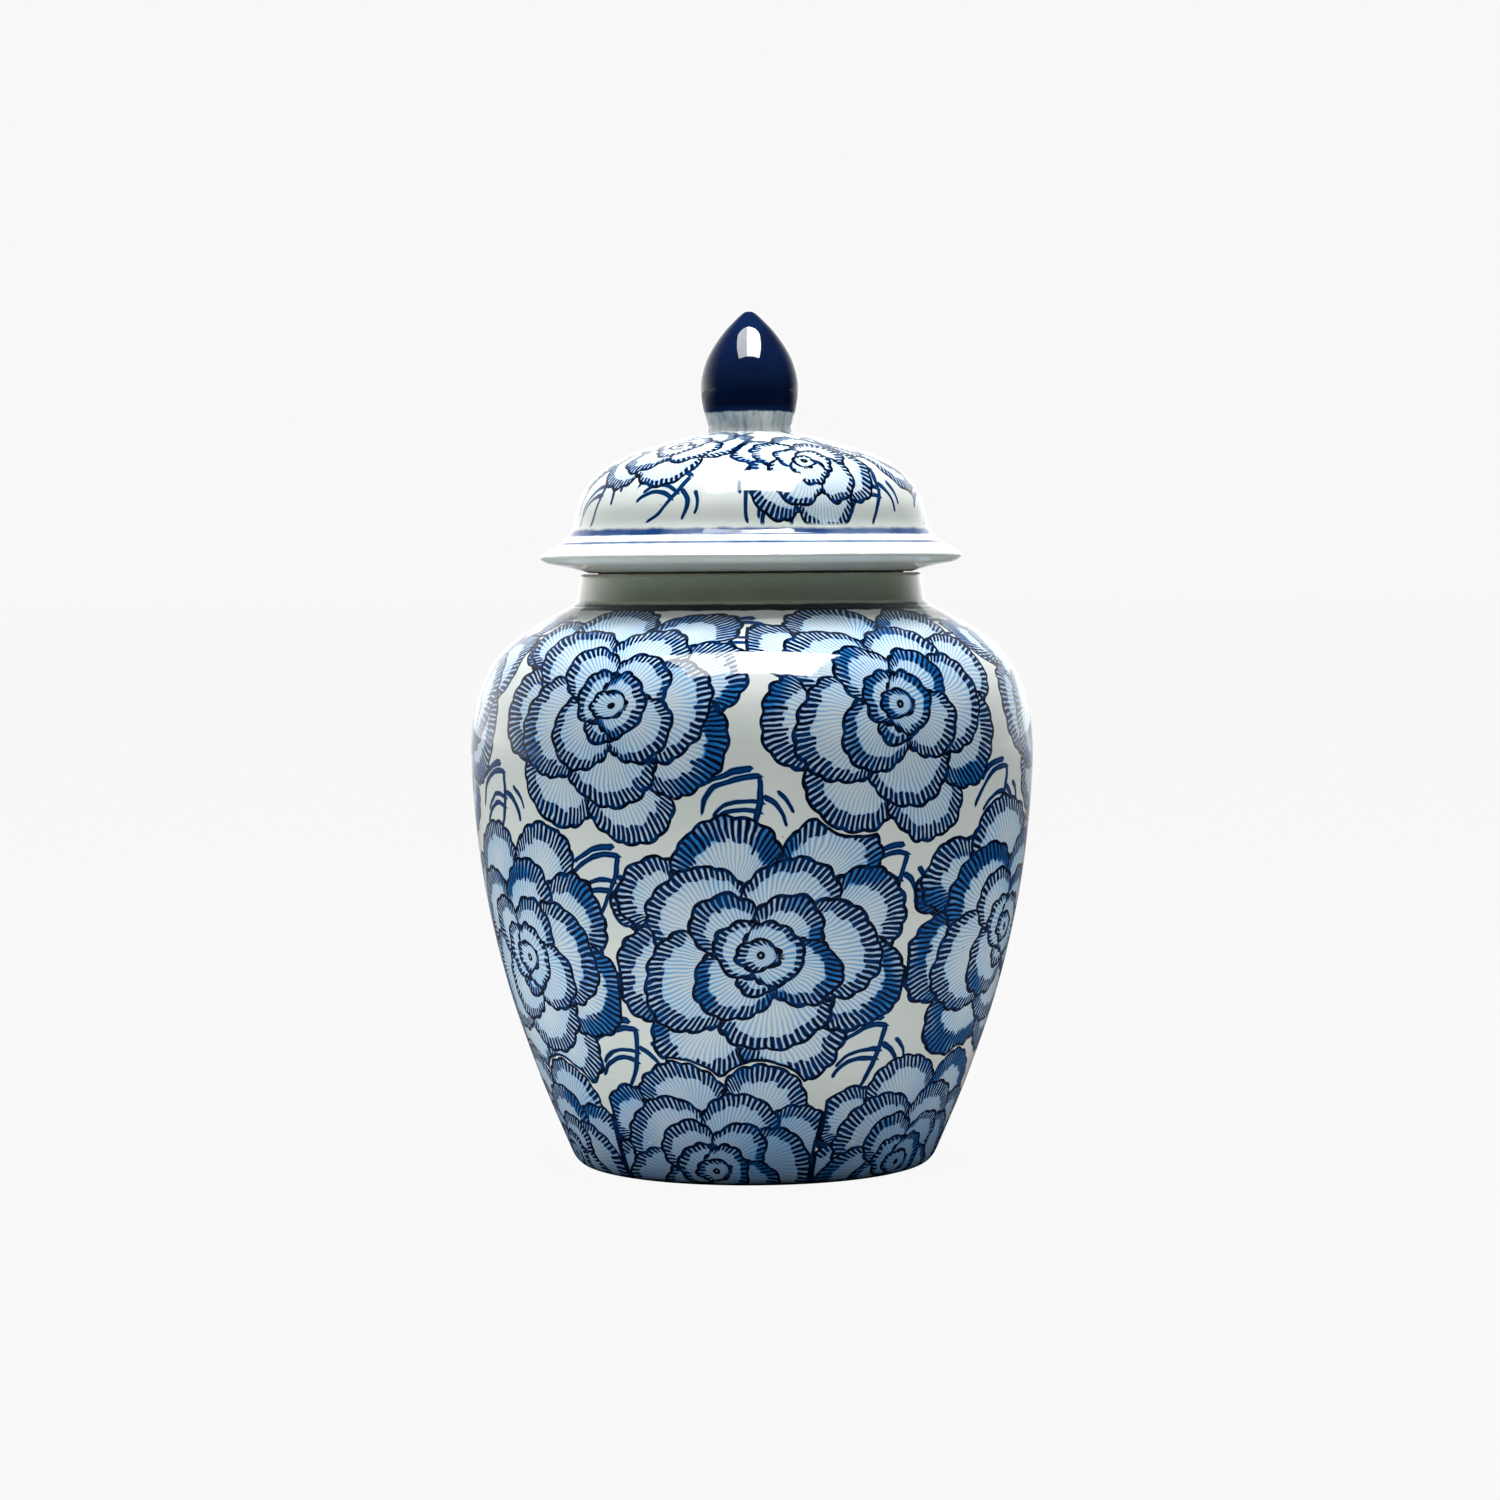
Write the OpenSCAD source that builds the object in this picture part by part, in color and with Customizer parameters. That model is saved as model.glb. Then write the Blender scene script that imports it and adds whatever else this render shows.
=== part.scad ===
// Lidded porcelain ginger jar: a cast jar with a collar and a foot ring, and a lid that lifts off.
// Frame: +Z up, the origin at the centre of the ring on which the foot stands. Millimetres.

/* [Jar] */
// Diameter of the belly at its widest
belly_d = 200; // [180:1:230]
// Height of the jar without its lid, up to the rim of the neck
jar_h = 210; // [190:1:250]
// Thickness of the wall
wall = 5; // [4:0.5:6.5]
// Thickness of the floor
floor_t = 6; // [5:0.5:9]

/* [Foot] */
// Height of the foot ring, which is the depth of the hollow under the base
foot_h = 5.5; // [4.5:0.5:7]
// Outside diameter of the unglazed band that the jar stands on
foot_d = 119; // [112:1:122]
// Width of the unglazed band
foot_band = 8; // [6:0.5:10]

/* [Neck] */
// Outside diameter of the neck at its rim
neck_d = 122; // [120:0.5:124]
// Height of the neck collar above the shoulder
neck_h = 11.5; // [10:0.5:16]
// Thickness of the collar's wall
neck_wall = 5; // [4.5:0.5:5.5]

/* [Lid] */
// Diameter of the lid across its brim
brim_d = 150.6; // [148:0.2:160]
// Height of the lid from its seat to the top of the dome
dome_h = 49.5; // [46:0.5:60]
// Depth of the locating ring below the seat
ring_h = 11; // [8:0.5:12]
// Thickness of the locating ring
ring_wall = 4; // [3.5:0.5:4.5]
// Radial play of the locating ring in the neck
ring_play = 1.5; // [1:0.1:2]
// Height of the lid's seat above the rim of the neck
seat_gap = 0.3; // [0.2:0.1:0.5]

/* [Finial] */
// Diameter of the bud at its widest
finial_d = 35.4; // [33:0.2:38]
// Height of the finial above the dome
finial_h = 43; // [40:0.5:50]
// Thickness of the hollow bud's wall
finial_wall = 4; // [3.5:0.5:4.5]
// Diameter of the hole that vents the hollow bud into the lid
vent_d = 4; // [3:0.5:6]

/* [Hidden] */
$fn = 128;

belly_r = belly_d / 2;
foot_r = foot_d / 2;
neck_r = neck_d / 2;
neck_in_r = neck_r - neck_wall;
shoulder_z = jar_h - neck_h;
floor_z = foot_h + floor_t;
seat_z = jar_h + seat_gap;
ring_r = neck_in_r - ring_play;
ring_in_r = ring_r - ring_wall;
brim_r = brim_d / 2;
dome_z = seat_z + dome_h;
finial_r = finial_d / 2;
vent_r = vent_d / 2;

// Straight pieces that each span of a curve is drawn with
curve_steps = 6;
// Radius of the corner between the floor and the wall inside
floor_corner = 7;
// Radius of the small roundings at the edges of rings
edge_r = 1;
// Height of the fillet where the collar meets the shoulder
collar_fillet = 2.5;
// How much narrower the collar is at its rim than at its root
collar_taper = 1.4;

// The wall's outside from the foot to the shoulder, as shares of the belly's radius and of the shoulder's height
wall_knots = [
    [0.656, foot_h / shoulder_z], [0.772, 0.169], [0.886, 0.343], [0.964, 0.529], [1.000, 0.725],
    [0.982, 0.824], [0.920, 0.899], [0.835, 0.943], [0.735, 0.975], [0.643, 1.000]
];

// The dome's outside from the brim's upper side to the finial, as shares of the brim's radius and of the dome's height
dome_knots = [
    [0.860, 0.270], [0.838, 0.345], [0.812, 0.500], [0.755, 0.655], [0.655, 0.785],
    [0.475, 0.895], [0.305, 0.965], [0.212, 1.000]
];

// The bud's outside from its stem to its tip, as shares of its radius and height
bud_knots = [
    [0.880, 0.000], [0.850, 0.045], [0.880, 0.110], [0.950, 0.210], [1.000, 0.350],
    [0.975, 0.460], [0.880, 0.590], [0.725, 0.710], [0.480, 0.845], [0.225, 0.950]
];

// A point of the curve that runs through the knots, u of the way from knot b to knot c
function between(a, b, c, d, u) =
    0.5 * (2 * b + (c - a) * u + (2 * a - 5 * b + 4 * c - d) * u * u + (3 * b - a - 3 * c + d) * u * u * u);

// A smooth curve through every knot
function curve(knots) = let (last = len(knots) - 1) [
    for (i = [0 : last - 1], s = [0 : curve_steps - 1])
        between(knots[max(i - 1, 0)], knots[i], knots[i + 1], knots[min(i + 2, last)], s / curve_steps),
    knots[last]
];

// The same curve moved sideways by t, to its left
function moved_in(points, t) = let (last = len(points) - 1) [
    for (i = [0 : last])
        let (d = points[min(i + 1, last)] - points[max(i - 1, 0)])
            points[i] + t * [-d.y, d.x] / norm(d)
];

function scaled(knots, r, h, z = 0) = [for (k = knots) [k.x * r, z + k.y * h]];

// An arc of radius r about c, from angle a to angle b
function arc(c, r, a, b) = [
    for (s = [0 : curve_steps]) c + r * [cos(a + (b - a) * s / curve_steps), sin(a + (b - a) * s / curve_steps)]
];

wall_outside = curve(scaled(wall_knots, belly_r, shoulder_z));
dome_outside = curve(scaled(dome_knots, brim_r, dome_h, seat_z));
bud_outside = curve(scaled(bud_knots, finial_r, finial_h, dome_z));

// The jar's cast shell: floor, belly and shoulder, open at the top for the collar
module jar_body() {
    wall_inside = [
        for (p = moved_in(wall_outside, wall))
            if (p.y > floor_z + floor_corner && p.x > neck_in_r + wall) p
    ];
    foot_corner = [wall_inside[0].x - floor_corner, floor_z + floor_corner];
    lip = [[neck_in_r + 1.5, shoulder_z - wall + 1], [neck_in_r, shoulder_z - 1.5], [neck_in_r, shoulder_z]];
    color("aliceblue") rotate_extrude() polygon(concat(
        [[0, foot_h]],
        wall_outside,
        [for (i = [len(lip) - 1 : -1 : 0]) lip[i]],
        [for (i = [len(wall_inside) - 1 : -1 : 0]) wall_inside[i]],
        arc(foot_corner, floor_corner, 0, -90),
        [[0, floor_z]]
    ));
}

// The neck: a short tapering ring, luted to the shoulder, with a rounded rim that takes the lid
module neck_collar() {
    root_r = wall_outside[len(wall_outside) - 1].x;
    side_r = neck_r + collar_taper;
    rim_r = 1.8;
    color("honeydew") rotate_extrude() polygon(concat(
        [[neck_in_r, shoulder_z], [root_r, shoulder_z]],
        arc([side_r + collar_fillet / 2 - 0.4, shoulder_z + collar_fillet], collar_fillet / 2, 235, 180),
        arc([neck_r - rim_r, jar_h - rim_r], rim_r, 0, 90),
        arc([neck_in_r + edge_r, jar_h - edge_r], edge_r, 90, 180)
    ));
}

// The foot ring: its outside rounds under from the wall to the band that stands on the table
module foot_ring() {
    root_r = wall_outside[0].x;
    band_in_r = foot_r - foot_band;
    side = curve([[foot_r, 0], [foot_r + 2.6, 0.9], [root_r - 1.4, 2.9], [root_r, foot_h]]);
    color("wheat") rotate_extrude() polygon(concat(
        side,
        [[band_in_r - 1, foot_h]],
        arc([band_in_r - 1 + edge_r, edge_r], edge_r, 180, 270)
    ));
}

// The lid: a dome on a brim with a blunt edge, flat underneath where it sits on the neck
module lid_shell() {
    tip_z = seat_z + 5.9;
    tip_r = 1.4;
    crown_z = dome_z - wall;
    brim_top = curve([
        [brim_r - tip_r, tip_z + tip_r], [brim_r * 0.935, tip_z + 3.2], [brim_r * 0.895, tip_z + 5.3],
        dome_outside[0]
    ]);
    brim_under = curve([
        [neck_r - 3.5, seat_z], [brim_r * 0.86, seat_z + 1.9], [brim_r * 0.955, seat_z + 3.3],
        [brim_r - 0.6, tip_z - 1.2]
    ]);
    dome_inside = [for (p = moved_in(dome_outside, wall)) if (p.y < crown_z - 0.4 && p.x > 12) p];
    seat_inside = curve([
        [ring_in_r, seat_z], [ring_in_r + 0.4, seat_z + 3.5], [ring_in_r + 4, seat_z + 8], dome_inside[0]
    ]);
    color("aliceblue") rotate_extrude() polygon(concat(
        brim_under,
        [[brim_r, tip_z]],
        brim_top,
        [for (i = [1 : len(dome_outside) - 1]) dome_outside[i]],
        [[vent_r, dome_z], [vent_r, crown_z]],
        [for (i = [len(dome_inside) - 1 : -1 : 1]) dome_inside[i]],
        [for (i = [len(seat_inside) - 1 : -1 : 0]) seat_inside[i]]
    ));
}

// The ring under the lid that drops into the neck and keeps the lid central
module lid_locating_ring() {
    low_z = seat_z - ring_h;
    color("honeydew") rotate_extrude() polygon(concat(
        [[ring_in_r, seat_z], [ring_r, seat_z]],
        arc([ring_r - edge_r, low_z + edge_r], edge_r, 0, -90),
        arc([ring_in_r + edge_r, low_z + edge_r], edge_r, 270, 180)
    ));
}

// The finial: a hollow cast bud on a short stem, luted to the dome over the vent
module lid_finial() {
    tip_z = dome_z + finial_h;
    hollow = [for (p = moved_in(bud_outside, finial_wall)) if (p.x > 1 && p.y > dome_z + 1) p];
    color("midnightblue") rotate_extrude() polygon(concat(
        [[hollow[0].x, dome_z]],
        bud_outside,
        [[finial_r * 0.1, tip_z - 0.4], [0, tip_z], [0, tip_z - finial_wall * 1.4]],
        [for (i = [len(hollow) - 1 : -1 : 0]) hollow[i]]
    ));
}

jar_body();
neck_collar();
foot_ring();
lid_shell();
lid_locating_ring();
lid_finial();
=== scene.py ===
# %% [markdown]
# # A lidded ginger jar in blue and white porcelain
# The real jar is cast in plaster moulds, painted in cobalt on the dry clay, dipped in a clear
# glaze and fired once. This lesson turns the same pieces on one axis, as a potter would, and then
# paints them with shader nodes. Everything is in metres, around the jar's axis.

# %% Load the frame
import math

import bmesh
import bpy
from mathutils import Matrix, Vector, noise
from mathutils.geometry import interpolate_bezier


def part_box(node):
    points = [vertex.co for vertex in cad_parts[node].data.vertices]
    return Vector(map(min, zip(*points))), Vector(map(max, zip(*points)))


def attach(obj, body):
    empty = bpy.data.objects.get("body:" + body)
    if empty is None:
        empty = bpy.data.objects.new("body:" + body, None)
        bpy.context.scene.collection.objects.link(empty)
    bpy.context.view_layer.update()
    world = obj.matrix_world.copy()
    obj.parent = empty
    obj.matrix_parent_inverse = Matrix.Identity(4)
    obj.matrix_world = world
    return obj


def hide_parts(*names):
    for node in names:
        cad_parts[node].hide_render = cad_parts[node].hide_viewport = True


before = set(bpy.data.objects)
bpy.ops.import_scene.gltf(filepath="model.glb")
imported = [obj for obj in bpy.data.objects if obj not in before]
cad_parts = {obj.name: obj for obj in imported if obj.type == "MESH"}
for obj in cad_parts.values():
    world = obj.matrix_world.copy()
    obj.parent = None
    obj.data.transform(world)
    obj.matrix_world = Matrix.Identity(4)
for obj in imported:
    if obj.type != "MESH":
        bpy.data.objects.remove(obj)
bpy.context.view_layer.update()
mm = 0.001
print("pieces in the frame:", sorted(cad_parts))

# %% [markdown]
# ## The sizes
# Every piece takes its size from the box of the part it stands for, so that the porcelain fits
# the frame exactly. The outlines below are written as shares of these sizes.

# %% Sizes from the frame
body_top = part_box("jar_body")[1]
belly_r = body_top.x
shoulder_z = body_top.z
foot_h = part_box("foot_ring")[1].z
rim_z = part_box("neck_collar")[1].z
seat_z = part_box("lid_shell")[0].z
brim_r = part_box("lid_shell")[1].x
dome_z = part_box("lid_shell")[1].z
ring_low, ring_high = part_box("lid_locating_ring")
bud_low, bud_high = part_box("lid_finial")
wall = 5.0 * mm
print(f"belly {belly_r * 2:.3f} m across, lid {brim_r * 2:.3f} m, top at {bud_high.z:.3f} m")

# %% [markdown]
# ## Drawing an outline
# A thrown or cast pot is fully described by one half of its section. A few knots, with a smooth
# curve through all of them, are easier to judge and to change than a long list of points. Each
# span becomes a Bezier curve whose handles follow the neighbouring knots.

# %% Outline helpers
def curve(knots, steps=8):
    """Points of a smooth curve through every knot."""
    knots = [Vector((r, z, 0)) for r, z in knots]
    ends = [knots[0]] + knots + [knots[-1]]
    points = []
    for before, a, b, after in zip(ends, ends[1:], ends[2:], ends[3:]):
        span = interpolate_bezier(a, a + (b - before) / 6, b - (after - a) / 6, b, steps + 1)
        points += span[:-1]
    return [(p.x, p.y) for p in points] + [(knots[-1].x, knots[-1].y)]


def scaled(shares, r, height, base=0.0):
    """Knots given as shares of a radius and a height."""
    return [(x * r, base + y * height) for x, y in shares]


def arc(centre, radius, start, end, steps=6):
    """Points of a round corner, with its angles in degrees."""
    turns = [math.radians(start + (end - start) * i / steps) for i in range(steps + 1)]
    return [(centre[0] + radius * math.cos(t), centre[1] + radius * math.sin(t)) for t in turns]


def inward(points, distance):
    """The outline moved to its left, which is towards the inside of the wall."""
    moved = []
    for i, (r, z) in enumerate(points):
        a = points[max(i - 1, 0)]
        b = points[min(i + 1, len(points) - 1)]
        step = math.dist(a, b)
        moved.append((r - distance * (b[1] - a[1]) / step, z + distance * (b[0] - a[0]) / step))
    return moved


def run_lengths(points, start=0.0):
    """How far each point lies along the outline."""
    lengths = [start]
    for a, b in zip(points, points[1:]):
        lengths.append(lengths[-1] + math.dist(a, b))
    return lengths


def length_at(points, lengths, z):
    """How far along a rising outline the height z is reached."""
    i = next(i for i, point in enumerate(points) if point[1] >= z)
    low, high = points[i - 1][1], points[i][1]
    return lengths[i - 1] + (lengths[i] - lengths[i - 1]) * (z - low) / (high - low)

# %% [markdown]
# ## Turning a piece
# Spinning the outline about the axis does what the wheel does. Two things are added. Each point
# carries its distance along the outside as an attribute, so the painter can measure along the
# clay and not through the air. And the clay moves very slightly inwards here and there, because
# a fired pot is never perfectly round, and the long reflections on it give that away.

# %% Turn an outline into a closed shell
sides = 192
sag = 0.35 * mm
corner_angle = math.radians(34)


def fired(point):
    """A point of the clay after the kiln: moved towards the axis by up to the sag."""
    slow = 0.5 + 0.5 * noise.noise(point * 14.0)
    radius = math.hypot(point.x, point.y)
    if radius < 1e-6:
        return point
    share = 1 - sag * slow / max(radius, 20 * mm)
    return Vector((point.x * share, point.y * share, point.z))


def turned(name, runs, slots, closed_loop=False):
    """A solid of revolution. Each run is (points, material index, distances or None)."""
    shell = bmesh.new()
    along = shell.verts.layers.float.new("along")
    place_in_outline = shell.verts.layers.int.new("place")
    verts = []
    bands = []
    for points, band, lengths in runs:
        for i, (r, z) in enumerate(points):
            if verts and math.dist((r, z), verts[-1].co.xz) < 0.02 * mm:
                continue
            vert = shell.verts.new((r, 0, z))
            vert[along] = lengths[i] / mm if lengths else 0.0
            vert[place_in_outline] = len(verts)
            verts.append(vert)
            bands.append(band)
    ends = verts[1:] + verts[:1] if closed_loop else verts[1:]
    edges = [shell.edges.new(pair) for pair in zip(verts, ends)]
    count = len(verts)
    bmesh.ops.spin(
        shell, geom=verts + edges, cent=(0, 0, 0), axis=(0, 0, 1), angle=math.tau,
        steps=sides, use_merge=True, use_duplicate=False
    )
    bmesh.ops.remove_doubles(shell, verts=shell.verts, dist=0.003 * mm)
    bmesh.ops.recalc_face_normals(shell, faces=shell.faces)
    for face in shell.faces:
        places = {vert[place_in_outline] for vert in face.verts}
        wraps = closed_loop and places == {0, count - 1}
        face.material_index = bands[0 if wraps else max(places)]
        face.smooth = True
    for edge in shell.edges:
        edge.smooth = not edge.is_manifold or edge.calc_face_angle() < corner_angle
    for vert in shell.verts:
        vert.co = fired(vert.co)
    open_edges = sum(1 for edge in shell.edges if not edge.is_manifold)
    mesh = bpy.data.meshes.new(name)
    shell.to_mesh(mesh)
    shell.free()
    for material in slots:
        mesh.materials.append(material)
    piece = bpy.data.objects.new(name, mesh)
    bpy.context.scene.collection.objects.link(piece)
    print(f"{name}: {len(mesh.polygons)} faces, {open_edges} open edges")
    return piece

# %% [markdown]
# ## Writing shaders as sums
# A painted pattern is arithmetic on a position: a distance to a centre, an angle, a comparison.
# In the node editor that is hundreds of small Math nodes. Here one class wraps a socket, and each
# operator adds the node that works it out, so the painting reads like a formula.

# %% The wire and the palette
class Wire:
    """A socket that can be calculated with."""

    def __init__(self, paint, socket):
        self.paint = paint
        self.socket = socket

    def math(self, operation, *others, clamp=False):
        return self.paint.node(
            "ShaderNodeMath", {"operation": operation, "use_clamp": clamp},
            dict(enumerate((self,) + others))
        )

    def __add__(self, other):
        return self.math("ADD", other)

    def __sub__(self, other):
        return self.math("SUBTRACT", other)

    def __rsub__(self, other):
        return self.paint.node("ShaderNodeMath", {"operation": "SUBTRACT"}, {0: other, 1: self})

    def __mul__(self, other):
        return self.math("MULTIPLY", other)

    def __truediv__(self, other):
        return self.math("DIVIDE", other)

    def __gt__(self, other):
        return self.math("GREATER_THAN", other)

    def __lt__(self, other):
        return self.math("LESS_THAN", other)

    __radd__ = __add__
    __rmul__ = __mul__

    def abs(self):
        return self.math("ABSOLUTE")

    def fraction(self):
        return self.math("FRACT")

    def min(self, other):
        return self.math("MINIMUM", other)

    def max(self, other):
        return self.math("MAXIMUM", other)

    def times_plus(self, factor, term, clamp=False):
        return self.math("MULTIPLY_ADD", factor, term, clamp=clamp)

    def soft(self, width):
        """A mask: 1 where this is above 0, with an edge of the given width."""
        return self.times_plus(1 / width, 0.5, clamp=True)

    def between(self, low, high):
        """A ramp from 0 at low to 1 at high."""
        return self.times_plus(1 / (high - low), -low / (high - low), clamp=True)

    def vector_math(self, operation, *others, output="Vector"):
        return self.paint.node(
            "ShaderNodeVectorMath", {"operation": operation},
            dict(enumerate((self,) + others)), output
        )

    def parts(self):
        """The x, y and z of a vector."""
        split = self.paint.node("ShaderNodeSeparateXYZ", {}, {0: self}, None)
        return tuple(Wire(self.paint, socket) for socket in split.outputs)


class Paint:
    """A material or a world, with its shader, to which nodes are added one by one."""

    def __init__(self, owner, **constants):
        owner.use_nodes = True
        self.material = owner
        self.nodes = owner.node_tree.nodes
        self.links = owner.node_tree.links
        self.shader = next(n for n in self.nodes if n.type in ("BSDF_PRINCIPLED", "BACKGROUND"))
        for socket, value in constants.items():
            self.shader.inputs[socket.replace("_", " ")].default_value = value

    def node(self, kind, settings, inputs, output=0):
        """Adds a node: its settings first, then the values or links of its sockets."""
        node = self.nodes.new(kind)
        for setting, value in settings.items():
            setattr(node, setting, value)
        for socket, value in inputs.items():
            if isinstance(value, Wire):
                self.links.new(value.socket, node.inputs[socket])
            else:
                node.inputs[socket].default_value = value
        return node if output is None else Wire(self, node.outputs[output])

    def place(self):
        """The position on the piece, in millimetres."""
        return self.scale(self.node("ShaderNodeTexCoord", {}, {}, "Object"), 1 / mm)

    def scale(self, vector, factor):
        return self.node("ShaderNodeVectorMath", {"operation": "SCALE"}, {0: vector, "Scale": factor})

    def attribute(self, name):
        return self.node("ShaderNodeAttribute", {"attribute_name": name}, {}, "Fac")

    def vector(self, x, y, z=0.0):
        return self.node("ShaderNodeCombineXYZ", {}, {0: x, 1: y, 2: z})

    def choose(self, factor, a, b, kind="VECTOR"):
        """a where the factor is 0, b where it is 1, and a mix in between."""
        first, result = {"FLOAT": (2, 0), "VECTOR": (4, 1), "RGBA": (6, 2)}[kind]
        settings = {"data_type": kind, "clamp_factor": kind != "VECTOR"}
        return self.node("ShaderNodeMix", settings, {0: factor, first: a, first + 1: b}, result)

    def choose_all(self, factor, first, second):
        """Chooses between two lists, each of a vector followed by numbers."""
        kinds = ["VECTOR"] + ["FLOAT"] * (len(first) - 1)
        return [self.choose(factor, a, b, kind) for a, b, kind in zip(first, second, kinds)]

    def tint(self, factor, under, over):
        return self.choose(factor, under, over, "RGBA")

    def cloud(self, place, scale, detail=2.0, output=0):
        """Smooth noise about 0.5."""
        return self.node(
            "ShaderNodeTexNoise", {}, {"Vector": place, "Scale": scale, "Detail": detail}, output
        )

    def chance(self, a, b=0.0, c=0.0):
        """One random number for each whole-number seed."""
        seed = self.vector(a, b, c)
        return self.node("ShaderNodeTexWhiteNoise", {"noise_dimensions": "3D"}, {"Vector": seed}, "Value")

    def feed(self, **sockets):
        """Links what varies over the surface to the shader."""
        for socket, value in sockets.items():
            self.links.new(value.socket, self.shader.inputs[socket.replace("_", " ")])

    def bump(self, height, distance):
        """The normal of a surface whose height varies by up to the distance, in metres."""
        inputs = {"Height": height, "Distance": distance, "Strength": 1.0}
        return self.node("ShaderNodeBump", {}, inputs, "Normal")


def rgb(red, green, blue):
    return (red, green, blue, 1.0)


ground = rgb(0.73, 0.78, 0.76)
pale_wash = rgb(0.50, 0.67, 0.80)
thin_cobalt = rgb(0.10, 0.36, 0.70)
soft_cobalt = rgb(0.020, 0.200, 0.560)
mid_cobalt = rgb(0.001, 0.075, 0.310)
full_cobalt = rgb(0.0005, 0.0035, 0.016)
print("palette ready")

# %% [markdown]
# ## The plain glaze and the bare clay
# Clear glaze over white porcelain is not pure white: it is faintly grey-green, more so where it
# ran thick, with a rare iron speck and tiny pinholes. The surface waves a little, like the skin of
# an orange. Where the potter wiped the glaze off, so that the pot wouldn't stick in the kiln, the
# clay is matt, dry and a little warm.

# %% Glaze and biscuit
def glaze_skin(paint, place, colour):
    """What every glazed surface shares: its waves, its specks and its faint change of gloss."""
    waves = paint.cloud(place, 0.11, 3.0)
    speck = paint.cloud(place, 0.55, 1.0)
    iron = speck.times_plus(60.0, -47.5, clamp=True)
    colour = paint.tint(iron * 0.55, colour, rgb(0.20, 0.14, 0.09))
    paint.feed(
        Base_Color=colour,
        Roughness=waves.times_plus(0.04, 0.02),
        Normal=paint.bump(waves, 0.06 * mm)
    )


def pooled_ground(paint, place):
    """The white ground, a little greener where the glaze lies thick."""
    pools = paint.cloud(place, 0.03, 2.0).between(0.35, 0.75)
    return paint.tint(pools, ground, rgb(0.66, 0.73, 0.69))


glaze_constants = {"IOR": 1.52, "Specular_IOR_Level": 0.5}


def plain_glaze():
    paint = Paint(bpy.data.materials.new("plain_glaze"), **glaze_constants)
    place = paint.place()
    glaze_skin(paint, place, pooled_ground(paint, place))
    return paint.material


def bare_clay():
    paint = Paint(bpy.data.materials.new("biscuit"), **{"IOR": 1.45, "Specular_IOR_Level": 0.25})
    place = paint.place()
    grain = paint.cloud(place, 1.6, 5.0)
    stain = paint.cloud(place, 0.06, 3.0).between(0.4, 0.7)
    colour = paint.tint(stain, rgb(0.70, 0.66, 0.58), rgb(0.60, 0.53, 0.43))
    colour = paint.tint(grain.between(0.62, 0.75) * 0.5, colour, rgb(0.45, 0.39, 0.31))
    paint.feed(
        Base_Color=colour, Roughness=grain.times_plus(0.25, 0.62), Normal=paint.bump(grain, 0.15 * mm)
    )
    return paint.material


glaze = plain_glaze()
biscuit = bare_clay()
print("materials:", glaze.name, biscuit.name)

# %% [markdown]
# ## The flower
# One stylised flower is repeated all over the jar. It is built as a painter builds it, from the
# back: each petal is a fan with a scalloped edge that covers part of the ones before it. For a
# point on the clay, the last petal that covers it wins, so the shader keeps one running answer,
# made of how far the point is inside that petal's edge, which stroke of its hatching it lies on,
# and which petal it is and how near its middle. Only at the end is the answer turned into colour,
# once for all the petals. The strokes fan out from a focus near the petal's root, as a brush that
# is pulled in from the scalloped edge leaves them.

# %% One petal over another
scallop_pitch = 7.6
scallop_depth = 0.85
stroke_pitch = 2.15
stroke_scale = 2.0
focus_share = 0.80


def lay_petals(paint, point, petals):
    """The running answer after these petals: (edge distance, stroke count, petal and lean).

    The lean is the fraction of the third number. It is small at the petal's root and about 0.5
    at the middle of its outer edge, where the brush makes its longest strokes.
    """
    answer = paint.vector(-1.0, 0.0, 0.0)
    for number, (x, y, rx, ry) in enumerate(petals, start=1):
        radius = (rx + ry) / 2
        outward = Vector((x, y, 0)).normalized()
        girth = math.tau * radius * (1 + focus_share)
        scallops = round(girth / scallop_pitch)
        strokes = round(girth / stroke_pitch)
        local = point.vector_math("MULTIPLY_ADD", (1 / rx, 1 / ry, 0), (-x / rx, -y / ry, 0))
        across, up, _ = local.vector_math("ADD", tuple(outward * focus_share)).parts()
        angle = up.math("ARCTAN2", across)
        uneven = angle.times_plus(2.0, number * 2.3).math("SINE") * 0.8 + number * 1.7
        lobe = angle.times_plus(scallops / 2, uneven).math("SINE").abs()
        edge = lobe.times_plus(scallop_depth, radius - scallop_depth * 0.6)
        inside = local.vector_math("LENGTH", output="Value").times_plus(-radius, edge)
        lean = local.vector_math("DOT_PRODUCT", tuple(outward * 0.25), output="Value")
        here = paint.vector(inside, angle * (strokes / math.tau), lean + (number + 0.25))
        answer = paint.choose(inside > 0.0, answer, here)
    return answer


outer_petals = [
    (-36, 20, 10, 10), (-32, 23, 12.5, 12.5), (-32.5, -4, 15, 16), (-10.5, 31, 17, 14.5),
    (20, 28.5, 16, 15), (-17, -24, 17, 17), (9, -29, 16, 16), (30.5, 11.5, 14.5, 15), (26, -11.5, 17, 17)
]
middle_petals = [
    (3.5, -18.5, 17, 14.5), (-17.5, 14, 17, 17), (9.5, 17, 15, 15), (-20, -7.5, 17, 17.5), (21, 0, 14.2, 17.5)
]
inner_petals = [
    (-8.5, -8.5, 13.2, 13.2), (-9.5, 10.5, 11, 11), (9, 9, 10.8, 10.8), (12, -7, 11.3, 11.6)
]
heart_petals = [(-1.5, -7, 6.8, 6.5), (-4.5, 2.5, 9.6, 9.6), (3.5, 0.5, 9, 11), (-1, 0.2, 7, 5.4)]
flower_petals = outer_petals + middle_petals + inner_petals + heart_petals
print(len(flower_petals), "petals in a flower")


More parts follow.
